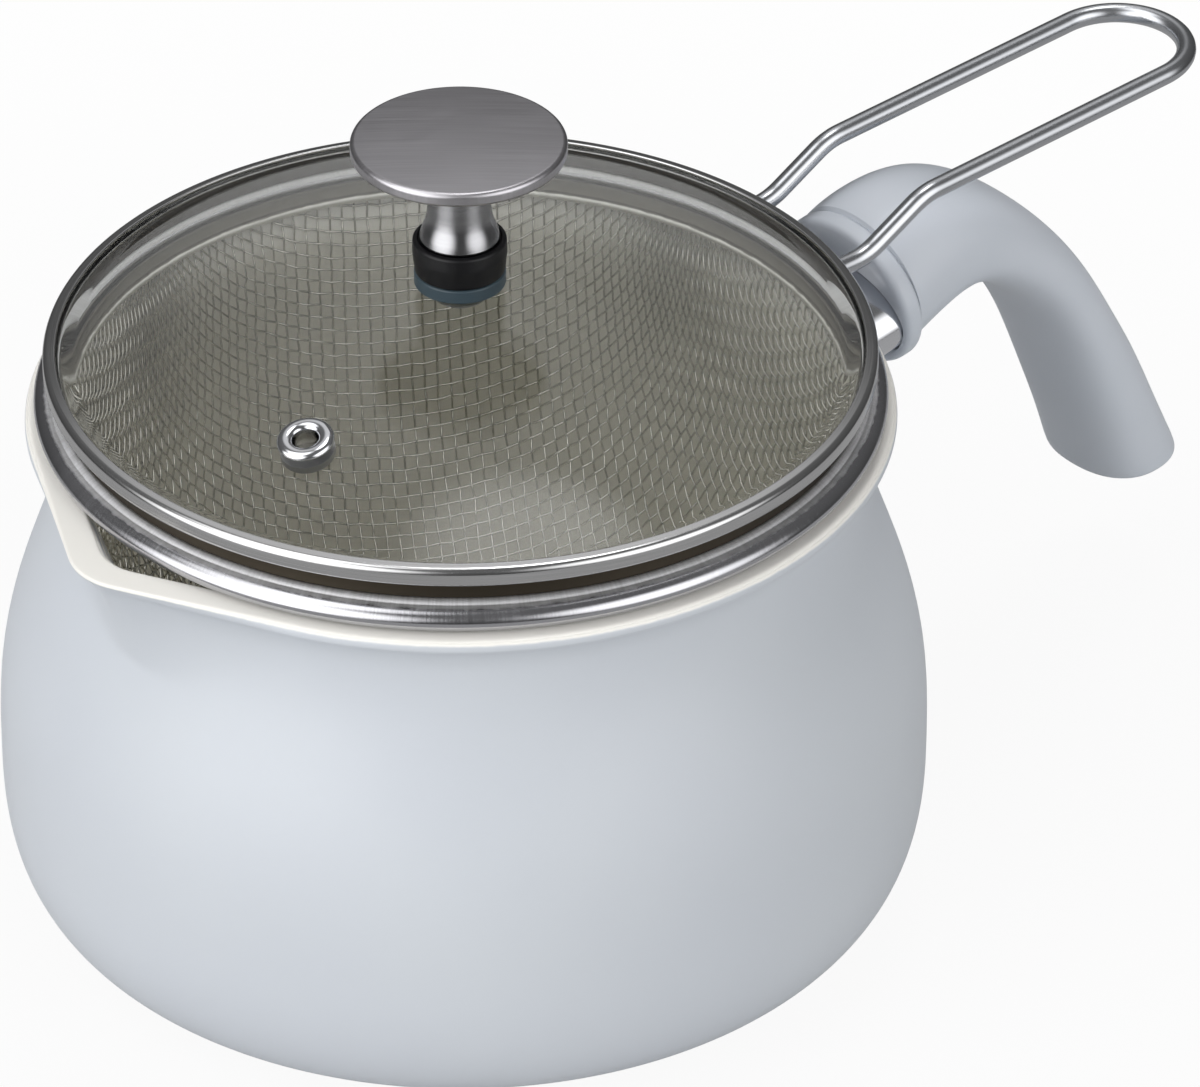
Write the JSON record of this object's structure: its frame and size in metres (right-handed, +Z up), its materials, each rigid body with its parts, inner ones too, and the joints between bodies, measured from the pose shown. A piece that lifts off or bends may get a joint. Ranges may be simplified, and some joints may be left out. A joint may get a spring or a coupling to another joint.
{
  "type": "strainer pot",
  "caption": "Bulbous pouring pot with a hook handle and spout, a lift-out woven-wire strainer basket with a wire loop handle, and a domed glass lid with a flat steel knob.",
  "frame": {"origin": "centre of the underside of the base, on the pot's axis", "axes": "+X out along the pot handle, with the spout at -X; +Z up along the pot's axis"},
  "size_m": [0.282, 0.1816, 0.1663],
  "materials": {
    "paint": "satin blue-grey paint on cast aluminium",
    "ivory": "ivory coating, slightly glossy",
    "steel_plate": "brushed",
    "steel_polished": "polished",
    "steel_hidden": "plain",
    "grip": "satin blue-grey",
    "screw_steel": "plain",
    "rim_steel": "satin polished",
    "mesh_steel": "drawn wire",
    "wire_steel": "polished wire",
    "lid_glass": "clear, faint green edge",
    "knob_steel": "brushed disc and turned stem",
    "collar_black": "black, heat proof",
    "silicone": "translucent blue-grey"
  },
  "bodies": {
    "pot": {"pot_shell": "paint", "inner_coating": "ivory", "base_plate": "steel_plate", "ferrule": "steel_polished", "handle_bracket": "steel_hidden", "handle_grip": "grip", "screw_washer": "screw_steel", "handle_screw": "screw_steel"},
    "strainer": {"strainer_rim": "rim_steel", "inner_band": "rim_steel", "mesh_basket": "mesh_steel", "wire_handle": "wire_steel"},
    "lid": {"lid_glass": "lid_glass", "lid_rim": "rim_steel", "vent_eyelet": "steel_polished", "vent_washer": "screw_steel", "upper_gasket": "silicone", "lower_gasket": "silicone", "knob_washer": "screw_steel", "knob_screw": "screw_steel", "knob_collar": "collar_black", "knob_stem": "knob_steel", "knob_disc": "knob_steel"}
  },
  "joints": [
    {"name": "strainer_lift", "type": "slide", "parent": "pot", "child": "strainer", "axis": [0, 0, 1], "range_m": [0, 0.12]},
    {"name": "lid_lift", "type": "slide", "parent": "strainer", "child": "lid", "axis": [0, 0, 1], "range_m": [0, 0.06]}
  ]
}
